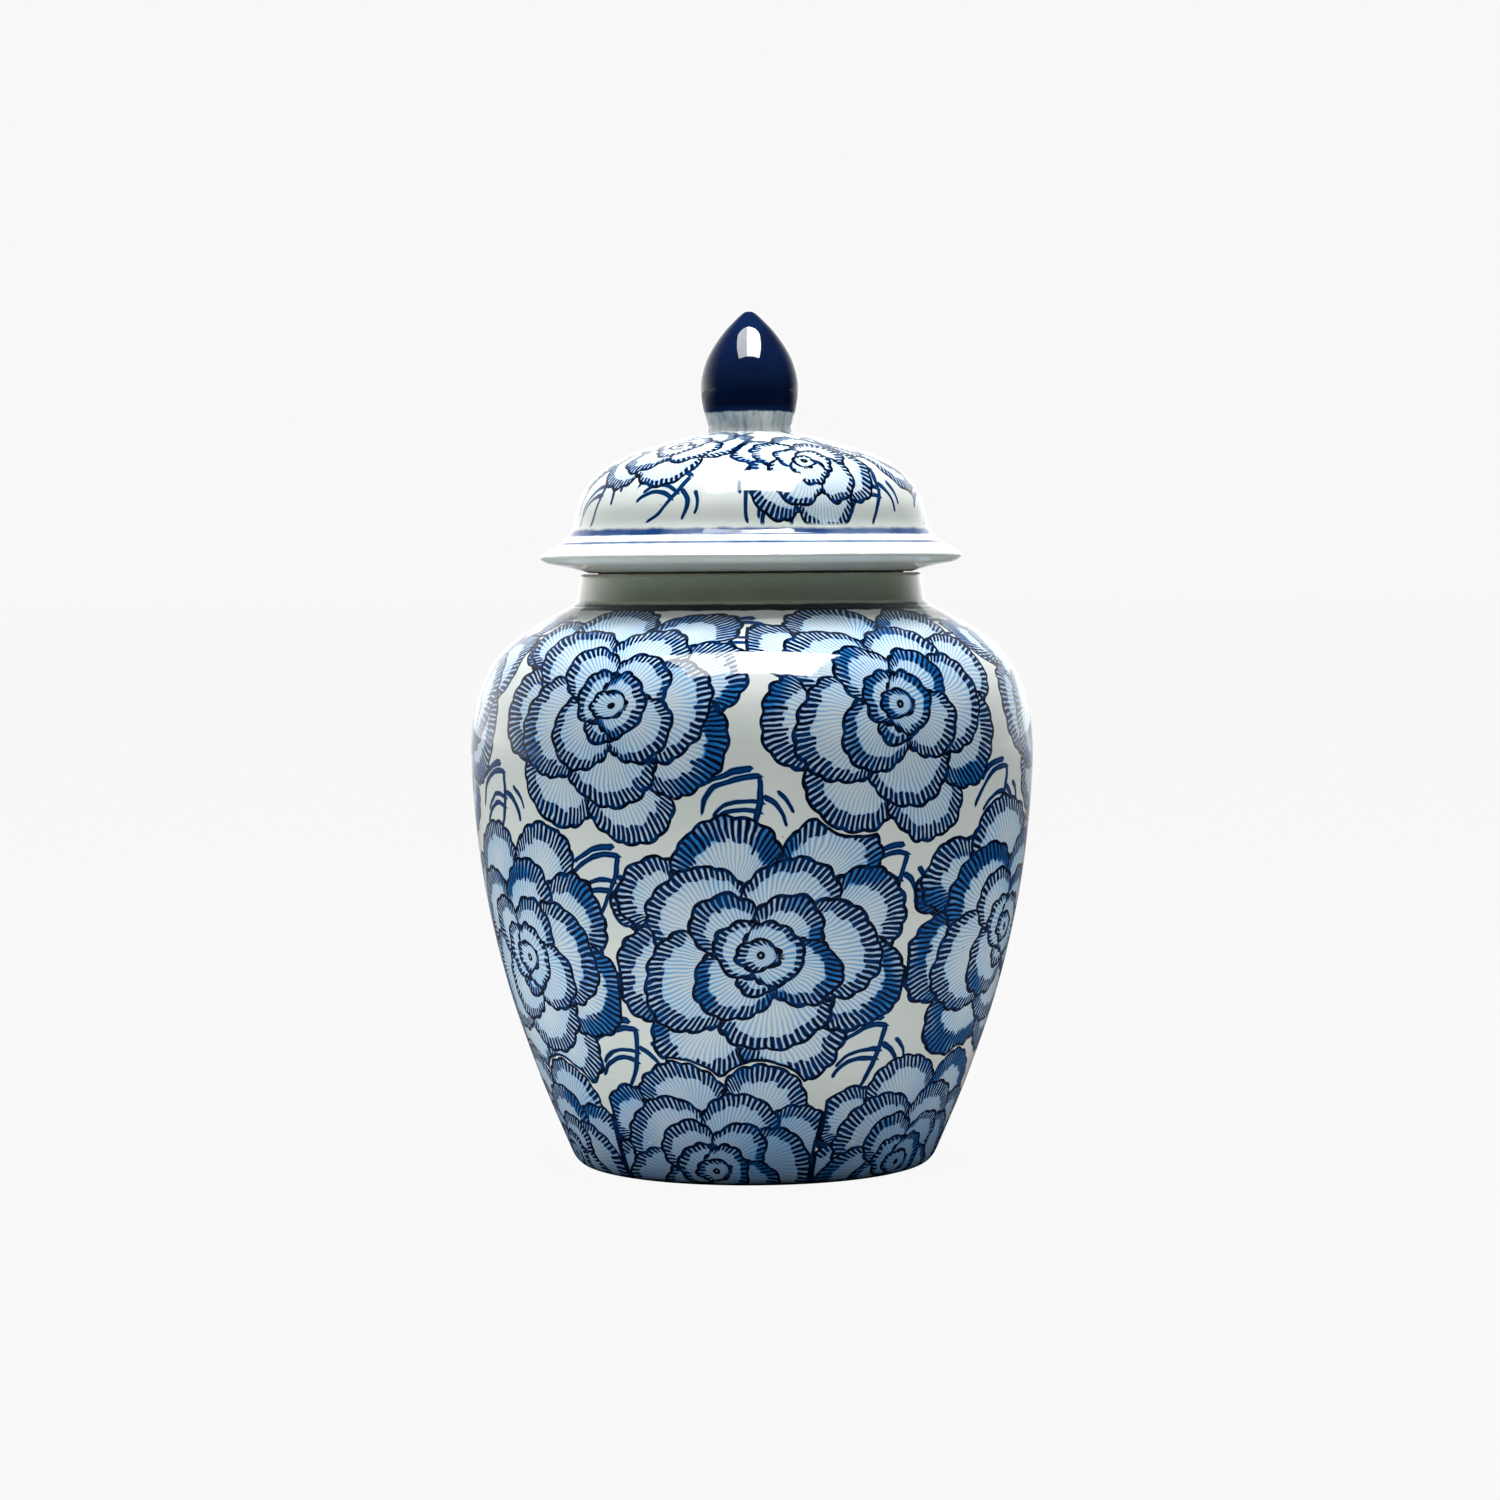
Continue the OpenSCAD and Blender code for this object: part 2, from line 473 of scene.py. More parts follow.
def flower_depth(point):
    """How far a point is inside the outline of a whole flower; below 0 it is outside."""
    depth = None
    for x, y, rx, ry in [(0, 0, 27, 27)] + outer_petals:
        radius = (rx + ry) / 2
        local = point.vector_math("MULTIPLY_ADD", (1 / rx, 1 / ry, 0), (-x / rx, -y / ry, 0))
        inside = local.vector_math("LENGTH", output="Value").times_plus(-radius, radius)
        depth = depth.max(inside) if depth else inside
    return depth

# %% [markdown]
# ## The colours of a petal
# The edge is a full dark line, from which short dark strokes run inwards, drawn with a loaded
# brush. On some petals a blue wash fills the space between them. Further in, the petal has only a
# pale wash, ribbed with fine diluted lines that fade out towards its root. Cobalt never turns grey
# where it is thin: it goes through a clear blue. So every dark stroke is laid over a slightly wider
# blue one, and a wash turns blue before it turns dark.

# %% Colour the running answer
def blue_over(paint, strength, under):
    """Cobalt of any strength: it turns a clear blue first, and deepens only where it is strong."""
    colour = paint.tint(strength.times_plus(2.0, 0.0, clamp=True), under, soft_cobalt)
    return paint.tint(strength.times_plus(2.0, -1.0, clamp=True), colour, mid_cobalt)


def petal_colours(paint, answer, cut, point, place, under, luck, thin=1.0, wet=1.0, soak=None):
    """Paints the petals over what is under them."""
    inside, stroke, petal = answer.parts()
    number = petal.math("FLOOR")
    lean = petal.fraction().between(0.12, 0.44)
    reach = point.vector_math("LENGTH", output="Value")
    shake = paint.cloud(place, 0.30, 1.0)
    patch = paint.cloud(place, 0.050, 1.0)
    mood = paint.chance(number, luck, 3.0)
    chance = paint.chance(stroke.math("FLOOR"), number, luck)
    longest = reach.between(5.0, 32.0).times_plus(3.6, 2.6) * mood.times_plus(0.55, 0.82)
    length = longest * lean.times_plus(0.62, 0.50) * (0.4 + 0.6 * thin)
    own_length = length * chance.times_plus(0.30, 0.86)
    across = (stroke.fraction() - 0.5).abs()
    stroke_half = (inside / own_length).times_plus(0.02, 0.310) + (shake - 0.5) * 0.26
    hatch = ((stroke_half - across) * stroke_scale).min(own_length - inside)
    drawn = hatch.max(shake.times_plus(0.8, 0.84) - inside.min(cut))
    rib = (0.21 - across).soft(0.24) * inside.between(28.0, 5.0) * patch.times_plus(1.0, 0.35) * thin
    fade = inside.between(2.0, 13.0).times_plus(-0.45, 0.80)
    wash = fade * patch.times_plus(0.9, 0.40, clamp=True) * thin
    flooded = (patch + mood * 0.30).between(0.68, 0.94).times_plus(0.90 * wet, 0.06 * wet)
    flood = flooded * (length * 0.94 - inside).soft(1.2)
    colour = paint.tint(wash, ground, pale_wash)
    if soak:
        colour = paint.tint(soak * patch.times_plus(1.2, 0.40), colour, soft_cobalt)
    colour = paint.tint(rib, colour, thin_cobalt)
    colour = blue_over(paint, flood, colour)
    colour = paint.tint((drawn + 0.10).soft(0.34), colour, soft_cobalt)
    ink = paint.tint(shake.between(0.46, 0.72) * 0.34, full_cobalt, mid_cobalt)
    colour = paint.tint((drawn - 0.03).soft(0.30), colour, ink)
    eye = (0.52 - (reach - 0.90).abs()).soft(0.2)
    colour = paint.tint(eye, colour, full_cobalt)
    return paint.tint(inside.soft(0.05), under, colour)

# %% [markdown]
# ## The sprigs
# The white gaps between the flowers hold grassy sprigs: a bent stem, and long leaves drawn with
# one or two strokes each, full at the stem and thinner at the tip. Every stroke is part of an
# ellipse, and a stroke's depth says how far a point is inside it, so the deepest of all the strokes
# is the sprig.

# %% Strokes along an ellipse
sprig_strokes = [
    # centre x, centre y, radius x, radius y, from and to (degrees), width
    (-30, 8, 36, 36, 1, -42, 1.9),
    (3, -9, 18.5, 17, 76, 166, 2.0),
    (3, -8.9, 20.6, 19.5, 86, 134, 2.4),
    (1, -12, 13.5, 11.4, 66, 150, 1.8),
    (-0.5, -14, 12.5, 10.2, 62, 160, 1.9),
    (4.5, -8, 7.8, 9, 80, -6, 2.0),
    (7, -5, 8.6, 9, 62, 2, 1.7)
]


def lay_strokes(paint, point, strokes):
    """How deep a point lies inside the deepest stroke; below 0 it is outside them all."""
    deepest = None
    for x, y, rx, ry, start, end, width in strokes:
        radius = (rx + ry) / 2
        start, end = math.radians(start), math.radians(end)
        local = point.vector_math("MULTIPLY_ADD", (1 / rx, 1 / ry, 0), (-x / rx, -y / ry, 0))
        across, up, _ = local.parts()
        run = up.math("ARCTAN2", across).times_plus(1 / (end - start), -start / (end - start))
        body = (run * 14.0).min(run.times_plus(-14.0, 14.2)).min(run.times_plus(-0.55, 1.15)) * (width / 2)
        off = (local.vector_math("LENGTH", output="Value") - 1.0).abs()
        depth = body.min(width / 2) - off * radius
        deepest = deepest.max(depth) if deepest else depth
    return deepest


def sprig_colours(paint, depth, under):
    """The strokes: dark at their edges, where the colour dries last, and bluer in the middle."""
    colour = paint.tint((depth + 0.12).soft(0.30), under, soft_cobalt)
    ink = paint.tint(depth.between(0.35, 0.80) * 0.60, full_cobalt, mid_cobalt)
    return paint.tint((depth - 0.06).soft(0.26), colour, ink)

# %% [markdown]
# ## Placing the flowers on the jar
# The painter sets three rows. The upper row has six flowers on the shoulder, the middle row six
# more in the gaps below, and the bottom row is cut by the foot. Folding the angle round the jar
# into equal sectors gives every flower the same sheet to be drawn on. The flowers of the upper and
# lower rows lie over those of the middle row. A petal that runs under another flower, or into its
# neighbour's sector, is closed with its own edge line. A little chance for each flower turns it and
# changes its size, as a hand would.

# %% The painted jar
hand_wobble = 3.4
hand_tremor = 0.60
under_gap = 0.5


def sector(paint, theta, count, centre, shift=0.0):
    """(where in its sector, from -0.5 to 0.5, and the sector's number) for an angle in radians."""
    turns = theta.times_plus(count / math.tau, -count * centre / 360 + shift)
    number = turns.math("ROUND")
    return turns - number, number.math("FLOORED_MODULO", float(count))


off_centre = 0.02
flower_turn = math.radians(9)


def flower_sheet(paint, theta, radius, along, count, centre, height, row, size=1.0):
    """The flat sheet of the nearest flower of one row: [point, distance to its side, chance]."""
    where, number = sector(paint, theta, count, centre, off_centre)
    pitch = radius * (math.tau / count)
    chance = paint.chance(number, float(row))
    point = paint.vector((where - off_centre) * pitch, along - height)
    point = paint.node(
        "ShaderNodeVectorRotate", {"rotation_type": "Z_AXIS"},
        {"Vector": point, "Angle": (chance - 0.5) * flower_turn}
    )
    point = paint.scale(point, chance.times_plus(0.05, 0.925) / size)
    return [point, (0.5 - where.abs()) * pitch, chance]


def painted_jar(rows):
    """Flowers and sprigs on the wall. rows holds each row's (count, angle, distance along)."""
    paint = Paint(bpy.data.materials.new("painted_porcelain"), **glaze_constants)
    place = paint.place()
    along = paint.attribute("along")
    x, y, _ = place.parts()
    theta = x.math("ARCTAN2", -1.0 * y)
    radius = paint.vector(x, y).vector_math("LENGTH", output="Value")
    wobble = paint.cloud(place, 0.07, 1.0, "Color").vector_math("SUBTRACT", (0.5, 0.5, 0.5))
    tremor = paint.cloud(place, 0.28, 0.0, "Color").vector_math("SUBTRACT", (0.5, 0.5, 0.5))
    wobble = paint.scale(wobble, hand_wobble).vector_math("ADD", paint.scale(tremor, hand_tremor))
    tilt = theta.math("SINE")
    theta = theta + along.times_plus(0.13, 0.4).math("SINE") * 0.012
    drift = (theta + math.radians(30)).math("COSINE") * math.radians(9) + theta - math.radians(9.3)
    (top_n, top_a, top_s), (mid_n, mid_a, mid_s), (low_n, low_a, low_s) = rows
    top = flower_sheet(paint, theta, radius, along, top_n, top_a, top_s, 1)
    mid = flower_sheet(paint, drift, radius, along - tilt * 4.5, mid_n, mid_a, mid_s, 2)
    low = flower_sheet(paint, theta, radius, along, low_n, low_a, low_s, 3, 0.88)
    lower_half = along < (top_s + low_s) / 2
    over = paint.choose_all(lower_half, top, low)
    over[0] = over[0].vector_math("ADD", wobble)
    mid[0] = mid[0].vector_math("ADD", wobble)
    depth = flower_depth(over[0])
    mid[1] = mid[1].min(depth * -1.0 - under_gap)
    point, cut, luck = paint.choose_all(depth > -under_gap, mid, over)
    answer = lay_petals(paint, point, flower_petals)
    column_a, _ = sector(paint, theta, 6, 0)
    column_b, _ = sector(paint, theta, 6, 30)
    second = column_b.abs() < column_a.abs()
    column = paint.choose(second, column_a, column_b, "FLOAT") * radius * (math.tau / 6)
    height = (along - second * 34.0 - 2.0).math("FLOORED_MODULO", 61.0) - 19.0
    sprig = paint.vector(column + 2.5, height).vector_math("ADD", wobble)
    colour = sprig_colours(paint, lay_strokes(paint, sprig, sprig_strokes), pooled_ground(paint, place))
    soak = along.between(52.0, 4.0) * 0.50
    colour = petal_colours(paint, answer, cut, point, place, colour, luck, soak=soak)
    edge = paint.cloud(place, 0.12, 2.0)
    # A dark band round the foot: partly a cobalt line, mostly painted shade where the jar meets the floor.
    foot_line_and_shade = (along * -1.0 + 3.4 + (edge - 0.5) * 3.0).soft(2.2) * 0.95
    colour = paint.tint(foot_line_and_shade, colour, full_cobalt)
    root = ((place.parts()[2] - (shoulder_z / mm - 1.2)) + (edge - 0.5) * 0.9).soft(0.3)
    colour = paint.tint(root, colour, full_cobalt)
    glaze_skin(paint, place, colour)
    print(paint.material.name, "has", len(paint.nodes), "nodes")
    return paint.material

# %% [markdown]
# ## The jar's body
# The shell is cast: one even wall from the foot to the shoulder, and a floor. The outside is the
# outline below, the inside is the same outline moved in by the wall's thickness.

# %% Outline of the wall and the foot
wall_shares = [
    (0.656, foot_h / shoulder_z), (0.772, 0.169), (0.886, 0.343), (0.964, 0.529), (1.000, 0.725),
    (0.982, 0.824), (0.920, 0.899), (0.835, 0.943), (0.735, 0.975), (0.643, 1.000)
]
wall_outside = curve(scaled(wall_shares, belly_r, shoulder_z))
root_r = wall_outside[0][0]
foot_r = 0.595 * belly_r
band = 8.0 * mm
foot_side = curve([
    (foot_r, 0), (foot_r + 2.6 * mm, 0.9 * mm), (root_r - 1.4 * mm, 2.9 * mm), (root_r, foot_h)
])
foot_lengths = run_lengths(foot_side)
wall_lengths = run_lengths(wall_outside, foot_lengths[-1])
rows = [
    (6, 30.4, length_at(wall_outside, wall_lengths, 0.836 * shoulder_z) / mm),
    (6, 0.0, length_at(wall_outside, wall_lengths, 0.413 * shoulder_z) / mm),
    (6, -11.0, length_at(wall_outside, wall_lengths, 0.031 * shoulder_z) / mm)
]
print("rows of flowers at", [round(s) for _, _, s in rows], "mm along the wall")
painted = painted_jar(rows)

# %% Turn the body
floor_thickness = 6.0 * mm
floor_z = foot_h + floor_thickness
bore_r = 56.0 * mm
corner = 7.0 * mm
wall_inside = [
    p for p in inward(wall_outside, wall) if p[1] > floor_z + corner and p[0] > bore_r + wall
]
floor_corner = (wall_inside[0][0] - corner, floor_z + corner)
lip_knots = [
    (bore_r, shoulder_z), (bore_r + 0.2 * mm, shoulder_z - 2 * mm), (bore_r + 2 * mm, shoulder_z - 4 * mm)
]
lip = curve(lip_knots, 4)
jar_shell = turned("jar_shell", [
    ([(0, foot_h), (root_r - 16 * mm, foot_h)], 1, None),
    (wall_outside, 0, wall_lengths),
    (lip, 1, None),
    (wall_inside[::-1], 1, None),
    (arc(floor_corner, corner, 0, -90, 8), 1, None),
    ([(wall_inside[0][0] - 2 * corner, floor_z), (0, floor_z)], 1, None)
], [painted, glaze])
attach(jar_shell, "jar")
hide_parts("jar_body")

# %% [markdown]
# ## The foot
# The foot ring is turned from the same clay. The painting runs over its side, the band it stands
# on is wiped clean of glaze, and the hollow inside it is glazed again.

# %% Turn the foot ring
band_in_r = foot_r - band
foot_in = arc((band_in_r, 1.0 * mm), 1.0 * mm, 270, 180)
foot = turned("foot_ring_painted", [
    (foot_side, 0, foot_lengths),
    ([(band_in_r - 1 * mm, foot_h)], 1, None),
    (foot_in[::-1], 1, None),
    ([foot_side[0]], 2, None)
], [painted, glaze, biscuit], closed_loop=True)
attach(foot, "jar")
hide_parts("foot_ring")

# %% [markdown]
# ## The neck
# The collar is a plain glazed ring, slightly narrower at its rim, with a soft fillet down to the
# shoulder. Its glaze is painted darker and greener than the ground, as painted shade under the
# lid's brim. The rim is bare clay, because the lid is fired in its place on top of it. The painter
# runs one dark line round its root.

# %% Turn the collar
def collar_glaze():
    """The neck's glaze in painted shade, with the dark line round its root."""
    paint = Paint(bpy.data.materials.new("collar_glaze"), **glaze_constants)
    place = paint.place()
    _, _, z = place.parts()
    edge = paint.cloud(place, 0.12, 2.0)
    line = (shoulder_z / mm + 1.0 - z + (edge - 0.5) * 0.8).soft(0.45)
    pools = paint.cloud(place, 0.05, 2.0)
    # Both tones are painted shade under the brim, darker and greener than the ground; the pools vary them.
    pooled_and_shaded_glaze = paint.tint(pools, rgb(0.52, 0.59, 0.46), rgb(0.43, 0.51, 0.37))
    colour = paint.tint(line, pooled_and_shaded_glaze, full_cobalt)
    glaze_skin(paint, place, colour)
    return paint.material


neck_r = bore_r + wall
taper = 1.4 * mm
fillet = 1.25 * mm
rim_round = 1.8 * mm
collar_root = arc((neck_r + taper + fillet - 0.4 * mm, shoulder_z + 2.5 * mm), fillet, 235, 180)
collar_rim = arc((neck_r - rim_round, rim_z - rim_round), rim_round, 0, 90, 8)
collar_side = [(wall_outside[-1][0], shoulder_z)] + curve(collar_root, 2)
collar = turned("neck", [
    (collar_side, 0, None),
    (collar_rim[:4], 0, None),
    (collar_rim[3:], 1, None),
    (arc((bore_r + 1 * mm, rim_z - 1 * mm), 1 * mm, 90, 180), 1, None),
    ([(bore_r, rim_z - 3 * mm), (bore_r, shoulder_z)], 0, None)
], [collar_glaze(), biscuit], closed_loop=True)
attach(collar, "jar")
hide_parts("neck_collar")

# %% [markdown]
# ## Painting the lid
# The dome has its own, looser flowers: three low on the dome and three nearer the crown, with
# scattered sprigs between them. On a dome the sheet is laid out from the crown, so a point's place
# is its distance from the crown, turned by its angle. Two lines are banded on the wheel where the
# dome meets the brim, with a brush that runs dry and blots.

# %% The painted lid
lid_petals = [
    (-14, 9.5, 11, 10.5), (6, 13.5, 13, 11), (16, -1, 11, 13), (-13.5, -8.5, 12, 12), (4, -14, 13, 11.5),
    (-8, 6.5, 10, 9.5), (7.5, 6.5, 10, 9.5), (8.5, -5.5, 9.5, 10), (-6, -7, 10.5, 9.5),
    (-3.5, 3, 7, 6.8), (4, 1.5, 6.8, 7.2), (0.5, -3.8, 7.2, 6.2), (0, 0.3, 4.4, 4.0)
]


def crown_sheet(paint, theta, along, count, centre, distance, row):
    """The flat sheet of the nearest flower on the dome: (point, chance)."""
    where, number = sector(paint, theta, count, centre)
    angle = where * (math.tau / count)
    chance = paint.chance(number, float(row), 5.0)
    point = paint.vector(angle.math("SINE") * along, (distance - angle.math("COSINE") * along) * 0.86)
    point = paint.node(
        "ShaderNodeVectorRotate", {"rotation_type": "Z_AXIS"},
        {"Vector": point, "Angle": (chance - 0.5) * math.radians(50)}
    )
    return point, chance


def painted_lid(line_radii):
    paint = Paint(bpy.data.materials.new("painted_lid"), **glaze_constants)
    place = paint.place()
    along = paint.attribute("along")
    x, y, _ = place.parts()
    theta = x.math("ARCTAN2", -1.0 * y)
    radius = paint.vector(x, y).vector_math("LENGTH", output="Value")
    wobble = paint.cloud(place, 0.09, 1.0, "Color").vector_math("SUBTRACT", (0.5, 0.5, 0.5))
    wobble = paint.scale(wobble, hand_wobble)
    low, low_luck = crown_sheet(paint, theta, along, 3, 22.0, 53.0, 1)
    high, high_luck = crown_sheet(paint, theta, along, 3, -42.0, 37.0, 2)
    low_reach = low.vector_math("LENGTH", output="Value")
    high_reach = high.vector_math("LENGTH", output="Value")
    nearer = high_reach < low_reach
    point = paint.choose(nearer, low, high).vector_math("ADD", wobble)
    luck = paint.choose(nearer, low_luck, high_luck, "FLOAT")
    answer = lay_petals(paint, point, lid_petals)
    cut = (high_reach - low_reach).abs() * 0.5

    where, number = sector(paint, theta, 10, 8.0)
    angle = where * (math.tau / 10)
    turn = paint.chance(number, 8.0)
    leaf = paint.vector(angle.math("SINE") * along, 64.0 - angle.math("COSINE") * along)
    leaf = paint.node(
        "ShaderNodeVectorRotate", {"rotation_type": "Z_AXIS"},
        {"Vector": leaf, "Angle": (turn - 0.5) * math.radians(70)}
    )
    leaf = paint.scale(leaf.vector_math("ADD", wobble), turn.times_plus(0.20, 0.88))
    sprigs = lay_strokes(paint, leaf, sprig_strokes)
    colour = sprig_colours(paint, sprigs, pooled_ground(paint, place))
    colour = petal_colours(paint, answer, cut, point, place, colour, luck, thin=0.55, wet=0.25)
    dome_only = (line_radii[0] - 1.2 - radius).soft(0.4)
    colour = paint.tint(dome_only, pooled_ground(paint, place), colour)
    brush = paint.cloud(place, 0.035, 2.0)
    edge = (paint.cloud(place, 0.16, 2.0) - 0.5) * 0.7
    for line_r, width, strength in zip(line_radii, (0.72, 0.50), (0.95, 0.80)):
        band_mask = (width + edge - (radius - line_r).abs()).soft(0.45)
        load = brush.between(0.30, 0.55) * strength
        ink = paint.tint(load * 0.45, mid_cobalt, full_cobalt)
        colour = paint.tint(band_mask * load.times_plus(0.3, 0.7), colour, ink)
    glaze_skin(paint, place, colour)
    print(paint.material.name, "has", len(paint.nodes), "nodes")
    return paint.material

# %% [markdown]
# ## The lid
# The dome and its brim are one cast shell. Its underside is flat and bare where it sits on the
# neck, and the inside is glazed. A small hole in the crown vents the hollow finial.

# %% Turn the lid
dome_h = dome_z - seat_z
dome_shares = [
    (0.860, 0.270), (0.838, 0.345), (0.812, 0.500), (0.755, 0.655), (0.655, 0.785),
    (0.475, 0.895), (0.305, 0.965), (0.212, 1.000)
]
dome_outside = curve(scaled(dome_shares, brim_r, dome_h, seat_z))
tip_z = seat_z + 5.9 * mm
tip_r = 1.4 * mm
ring_in_r = ring_high.x - 4.0 * mm
seat_edge_r = neck_r - 3.5 * mm
vent_r = 2.0 * mm
brim_top = curve([
    (brim_r - tip_r, tip_z + tip_r), (brim_r * 0.935, tip_z + 3.2 * mm), (brim_r * 0.895, tip_z + 5.3 * mm),
    dome_outside[0]
])
brim_under = curve([
    (seat_edge_r, seat_z), (brim_r * 0.86, seat_z + 1.9 * mm), (brim_r * 0.955, seat_z + 3.3 * mm),
    (brim_r - 0.6 * mm, tip_z - 1.2 * mm)
])
dome_inside = [p for p in inward(dome_outside, wall) if p[1] < dome_z - wall - 0.4 * mm and p[0] > 12 * mm]
seat_inside = curve([
    (ring_in_r, seat_z), (ring_in_r + 0.4 * mm, seat_z + 3.5 * mm),
    (ring_in_r + 4 * mm, seat_z + 8 * mm), dome_inside[0]
])
tip = curve([brim_under[-1], (brim_r, tip_z), brim_top[0]], 5)
over_lid = tip + brim_top[1:] + dome_outside[1:] + [(vent_r, dome_z)]
crown_lengths = run_lengths(over_lid[::-1], vent_r)[::-1]
lid = turned("lid", [
    (over_lid, 0, crown_lengths),
    ([(vent_r, dome_z - wall)], 1, None),
    (dome_inside[::-1], 1, None),
    (seat_inside[::-1], 1, None),
    ([(seat_edge_r - 2.5 * mm, seat_z), (seat_edge_r, seat_z)], 2, None),
    (brim_under[1:], 1, None)
], [painted_lid((64.4, 68.3)), glaze, biscuit], closed_loop=True)
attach(lid, "lid")
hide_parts("lid_shell")

# %% [markdown]
# ## The locating ring
# A plain ring under the lid drops into the neck. Its outside and its lower edge are bare, so that
# it slides on the bare inside of the rim and doesn't fuse to it in the kiln.

# %% Turn the locating ring
low_z = ring_low.z
ring = turned("locating_ring", [
    ([(ring_in_r, seat_z), (ring_high.x, seat_z)], 1, None),
    (arc((ring_high.x - 1 * mm, low_z + 1 * mm), 1 * mm, 0, -90), 1, None),
    (arc((ring_in_r + 1 * mm, low_z + 1 * mm), 1 * mm, 270, 180), 1, None),
    ([(ring_in_r, low_z + 3 * mm)], 0, None)
], [glaze, biscuit], closed_loop=True)
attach(ring, "lid")
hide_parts("lid_locating_ring")

# %% [markdown]
# ## The finial
# The bud is cast hollow and luted to the crown. It is dipped in cobalt up to a line on its stem
# that is never quite level, and the glaze pulls thin and pale below that line, in faint streaks.

# %% The cobalt bud
def cobalt_bud():
    paint = Paint(bpy.data.materials.new("cobalt_glaze"), **glaze_constants)
    place = paint.place()
    x, y, z = place.parts()
    dip_z = bud_low.z / mm + 6.9
    ragged = paint.cloud(place, 0.16, 3.0)
    dipped = (z - dip_z + (ragged - 0.5) * 1.7).soft(0.45)
    streaks = paint.cloud(paint.vector(x, y, z * 0.12), 0.55, 2.0)
    stem = paint.tint(streaks.between(0.46, 0.70) * 0.62, ground, rgb(0.16, 0.23, 0.30))
    thin_band = (z - dip_z - 0.2).between(2.6, 0.0)
    depth = paint.cloud(place, 0.05, 2.0)
    blue = paint.tint(depth.between(0.35, 0.70), rgb(0.0025, 0.0080, 0.034), rgb(0.0035, 0.014, 0.060))
    blue = paint.tint(thin_band * 0.6, blue, rgb(0.008, 0.040, 0.150))
    glaze_skin(paint, place, paint.tint(dipped, stem, blue))
    return paint.material


bud_shares = [
    (0.880, 0.000), (0.850, 0.045), (0.880, 0.110), (0.950, 0.210), (1.000, 0.350),
    (0.975, 0.460), (0.880, 0.590), (0.725, 0.710), (0.480, 0.845), (0.225, 0.950)
]
bud_r = bud_high.x
bud_h = bud_high.z - bud_low.z
bud_outside = curve(scaled(bud_shares, bud_r, bud_h, bud_low.z))
bud_tip = curve([bud_outside[-1], (bud_r * 0.1, bud_high.z - 0.4 * mm), (0, bud_high.z)], 5)
bud_inside = [p for p in inward(bud_outside, 4 * mm) if p[0] > 1 * mm and p[1] > bud_low.z + 1 * mm]
finial = turned("finial", [
    ([(bud_inside[0][0], bud_low.z)], 0, None),
    (bud_outside, 0, None),
    (bud_tip[1:], 0, None),
    ([(0, bud_high.z - 5.6 * mm)], 1, None),
    (bud_inside[::-1], 1, None)
], [cobalt_bud(), glaze])
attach(finial, "lid")
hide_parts("lid_finial")

# %% [markdown]
# ## The studio
# The jar stands on a plain pale floor in front of a pale backdrop. A glaze is judged by what it
# mirrors, so the lamps are split. One softbox in front of the jar and above it, with a shaded left
# part, is seen only in the glaze, as the crisp white window on the shoulder and the finial. Four
# fills light only the clay. A bright room behind the jar puts the pale rim on its sides. The
# camera stands at the height of the rim and looks slightly down.

# %% Floor, backdrop and lights
backdrop_white = 0.94
floor_white = 0.936
floor_grey = 0.008
floor_glow = 2.35
room_glow = 1.9
room_dark = 0.02


def seen_only(paint):
    """1 for what the camera sees directly, 0 for the light that reaches the jar."""
    return paint.node("ShaderNodeLightPath", {}, {}, "Is Camera Ray")


def floor():
    """A round floor, so large that its edge is far behind the jar.

    What it throws back on the jar is bright around the jar and dim further off. The glaze mirrors
    less of it than the clay receives, and mirrors the bright room far behind.
    """
    disc = bmesh.new()
    bmesh.ops.create_circle(disc, cap_ends=True, segments=96, radius=30.0)
    mesh = bpy.data.meshes.new("floor")
    disc.to_mesh(mesh)
    disc.free()
    paint = Paint(bpy.data.materials.new("floor_paint"), Roughness=0.9, Specular_IOR_Level=0.0)
    paint.shader.inputs["Base Color"].default_value = rgb(floor_grey, floor_grey, floor_grey)
    paint.shader.inputs["Emission Strength"].default_value = 1.0
    paint.material.cycles.emission_sampling = "NONE"
    x, y, _ = paint.place().parts()
    away = paint.vector(x, y).vector_math("LENGTH", output="Value")
    lean = (y * 0.25 - x * 0.20) / away + 1.0
    bounce = away.between(60.0, 190.0) * away.between(720.0, 260.0).math("POWER", 2.0) * lean
    mirrored = (y - x * 0.25).between(250.0, 3000.0) * 0.85 + bounce * 0.08
    onto_clay = paint.node("ShaderNodeLightPath", {}, {}, "Is Diffuse Ray")
    glow = paint.choose(onto_clay, mirrored, bounce * floor_glow, "FLOAT")
    light = paint.vector(glow, glow, glow)
    white = rgb(floor_white, floor_white, floor_white)
    paint.feed(Emission_Color=paint.tint(seen_only(paint), light, white))
    mesh.materials.append(paint.material)
    piece = bpy.data.objects.new("floor", mesh)
    bpy.context.scene.collection.objects.link(piece)


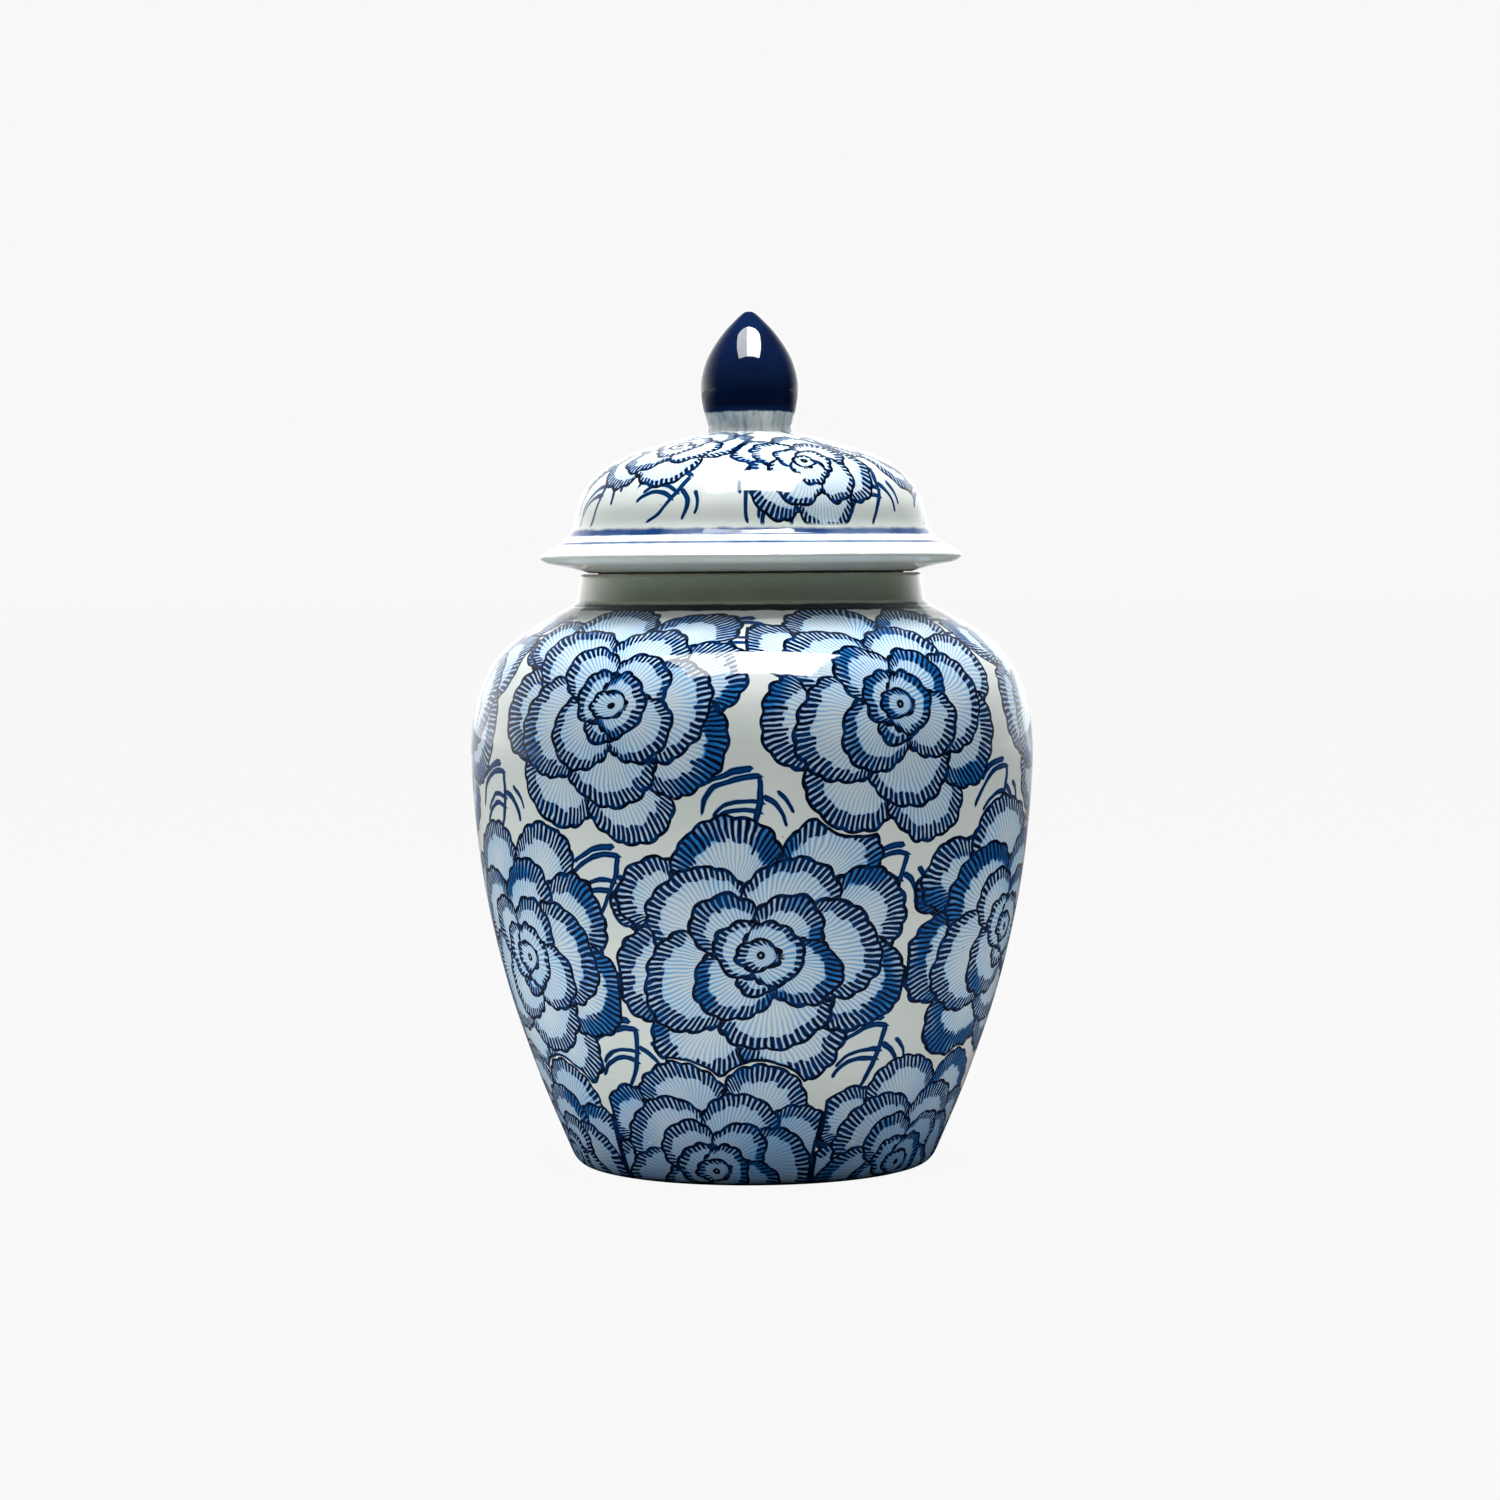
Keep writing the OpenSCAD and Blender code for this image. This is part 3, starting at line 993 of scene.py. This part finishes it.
def backdrop():
    """A pale backdrop, whose light on the jar comes mostly from behind it."""
    paint = Paint(bpy.data.worlds.new("backdrop"))
    direction = paint.node("ShaderNodeTexCoord", {}, {}, "Generated")
    side, back, up = direction.parts()
    glow = (back - side * 0.22).between(0.08, 0.85) * up.between(0.85, 0.05)
    dark = rgb(room_dark, room_dark, room_dark)
    bright = rgb(room_glow, room_glow, room_glow)
    light = paint.tint(glow.math("POWER", 1.5), dark, bright)
    white = rgb(backdrop_white, backdrop_white, backdrop_white)
    paint.feed(Color=paint.tint(seen_only(paint), light, white))
    bpy.context.scene.world = paint.material


def softbox(name, place, target, width, height, power, gloss=True, fill=True):
    """A rectangular light that faces a point: in the glaze only, or on the clay only, or both."""
    light = bpy.data.lights.new(name, "AREA")
    light.shape = "RECTANGLE"
    light.size = width
    light.size_y = height
    light.energy = power
    lamp = bpy.data.objects.new(name, light)
    lamp.location = place
    lamp.rotation_euler = (Vector(target) - Vector(place)).to_track_quat("-Z", "Y").to_euler()
    lamp.visible_glossy = gloss
    lamp.visible_diffuse = fill
    lamp.visible_camera = False
    bpy.context.scene.collection.objects.link(lamp)


floor()
backdrop()
bpy.context.scene.view_settings.view_transform = "Standard"
middle = (0, 0, 0.15)
softbox("top_softbox", (0.188, -0.385, 1.25), (0.188, -0.20, 0.15), 0.55, 0.72, 33.0, fill=False)
softbox("top_softbox_shaded", (-0.287, -0.385, 1.25), (-0.287, -0.20, 0.15), 0.40, 0.72, 9.5, fill=False)
softbox("top_fill", (0, 0.0, 1.25), (0, 0, 0.15), 0.66, 0.60, 27.0, gloss=False)
softbox("front_fill", (0, -1.1, 1.60), middle, 2.2, 0.7, 7.5, gloss=False)
softbox("left_fill", (-1.3, 0.45, 0.15), middle, 0.5, 0.9, 2.0, gloss=False)
softbox("right_fill", (1.0, 0.85, 0.15), middle, 0.5, 0.9, 4.0, gloss=False)

# %% Camera
eye = Vector((0, -1.41, 0.21))
aim = Vector((-0.0007, 0, 0.147))
lens = bpy.data.cameras.new("camera")
lens.sensor_width = 36
lens.lens = 95
lens.clip_start = 0.05
lens.clip_end = 100
camera = bpy.data.objects.new("camera", lens)
camera.location = eye
camera.rotation_euler = (aim - eye).to_track_quat("-Z", "Y").to_euler()
camera.rotation_euler.rotate_axis("Z", math.radians(-0.4))
bpy.context.scene.collection.objects.link(camera)
bpy.context.scene.camera = camera
print("camera at", [round(c, 3) for c in camera.location])
